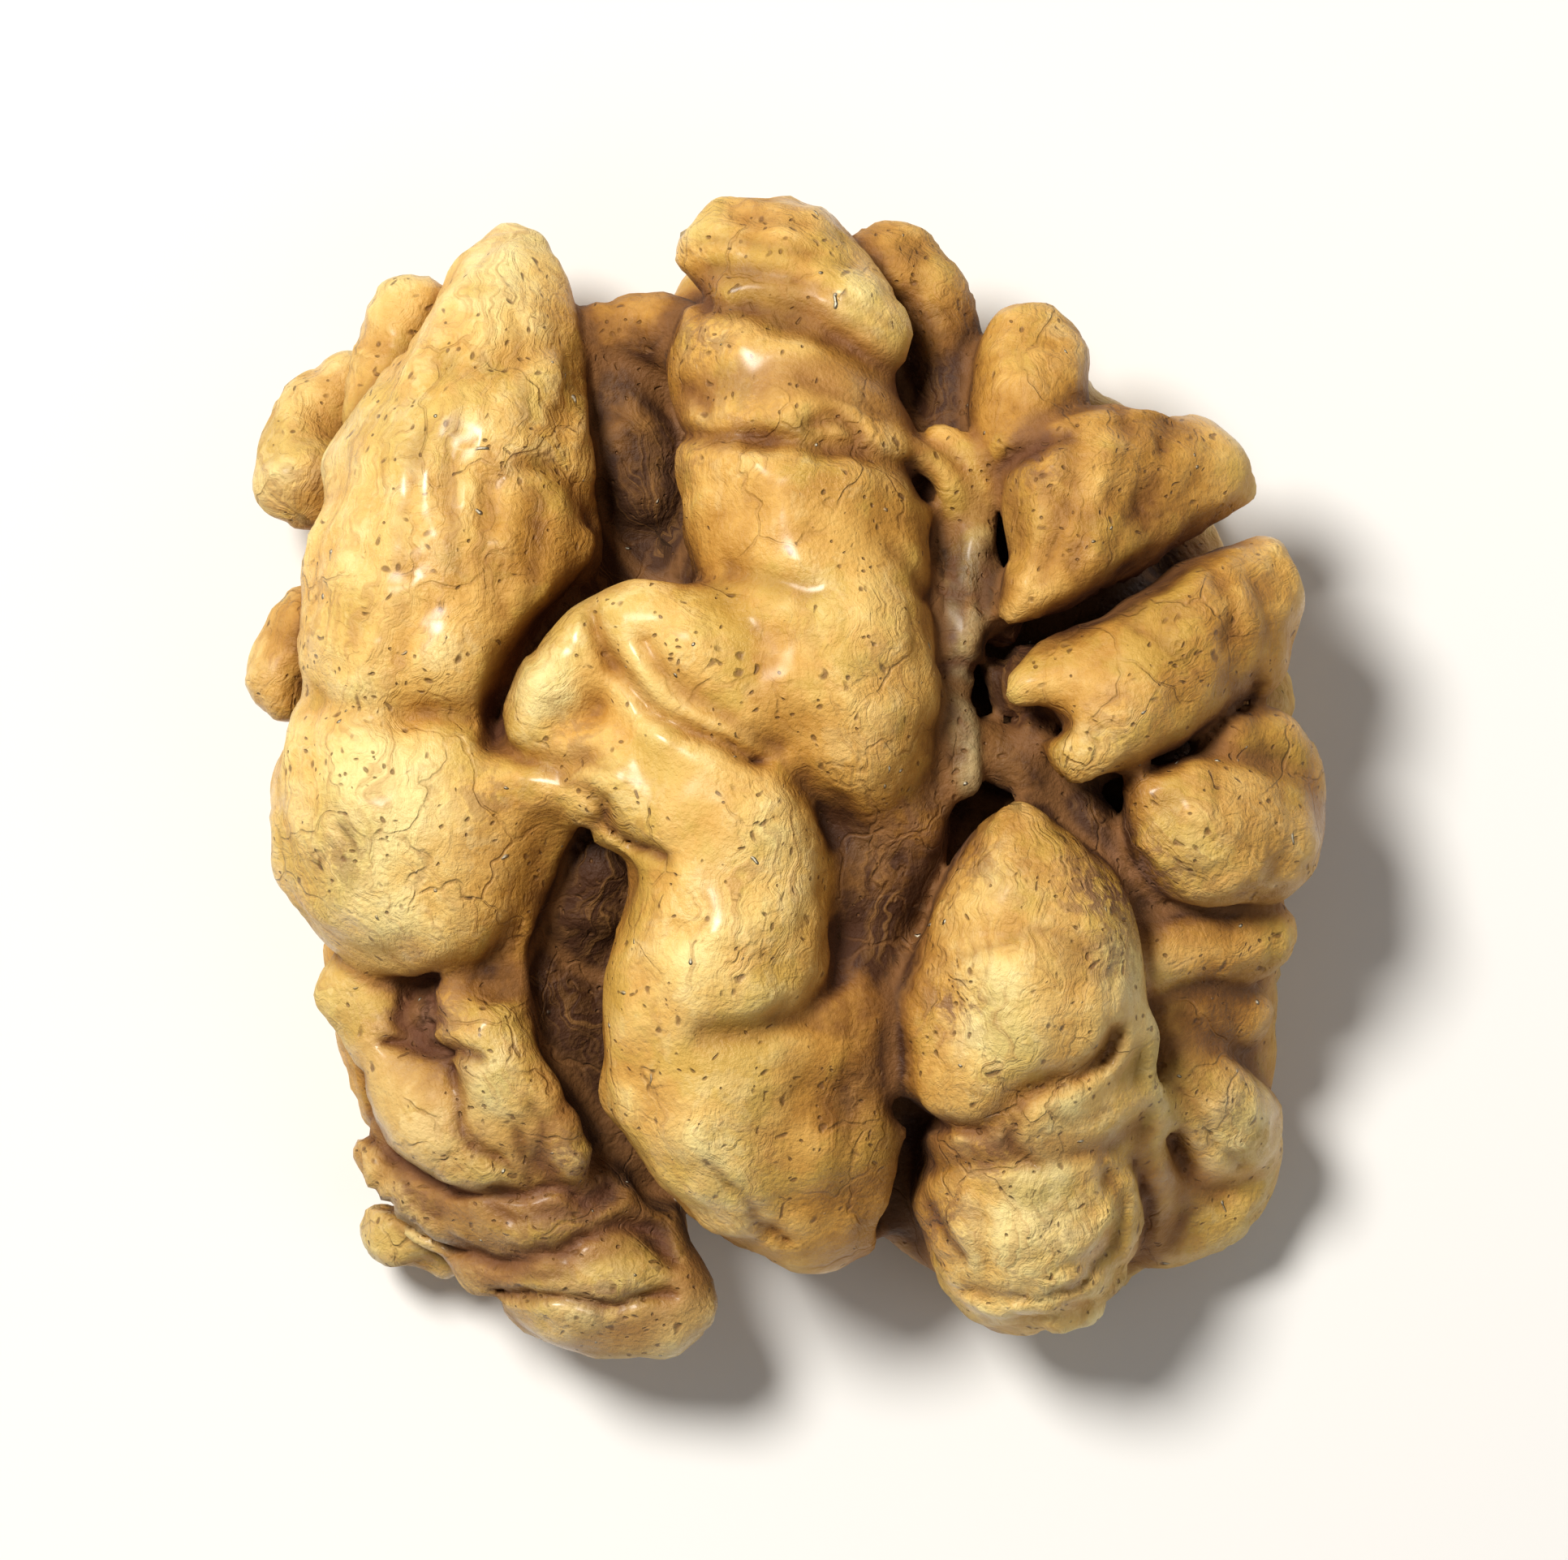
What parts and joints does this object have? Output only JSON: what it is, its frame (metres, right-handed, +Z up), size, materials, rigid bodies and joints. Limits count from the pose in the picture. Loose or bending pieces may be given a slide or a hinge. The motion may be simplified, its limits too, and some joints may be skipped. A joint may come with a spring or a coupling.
{
  "type": "walnut kernel half",
  "caption": "Shelled walnut half with deeply folded, brain-like lobes on its outer face and a shallow hollow in its inner face.",
  "frame": {"origin": "on the surface the kernel rests on, under the middle of its outline", "axes": "+Z up through the folded outer face, +Y along the kernel's length, +X across its two lobes"},
  "size_m": [0.0308, 0.0328, 0.0133],
  "materials": {
    "walnut_skin": "satin, thin tan skin, slightly oily"
  },
  "bodies": {
    "root": {"walnut_kernel": "walnut_skin"}
  },
  "joints": []
}
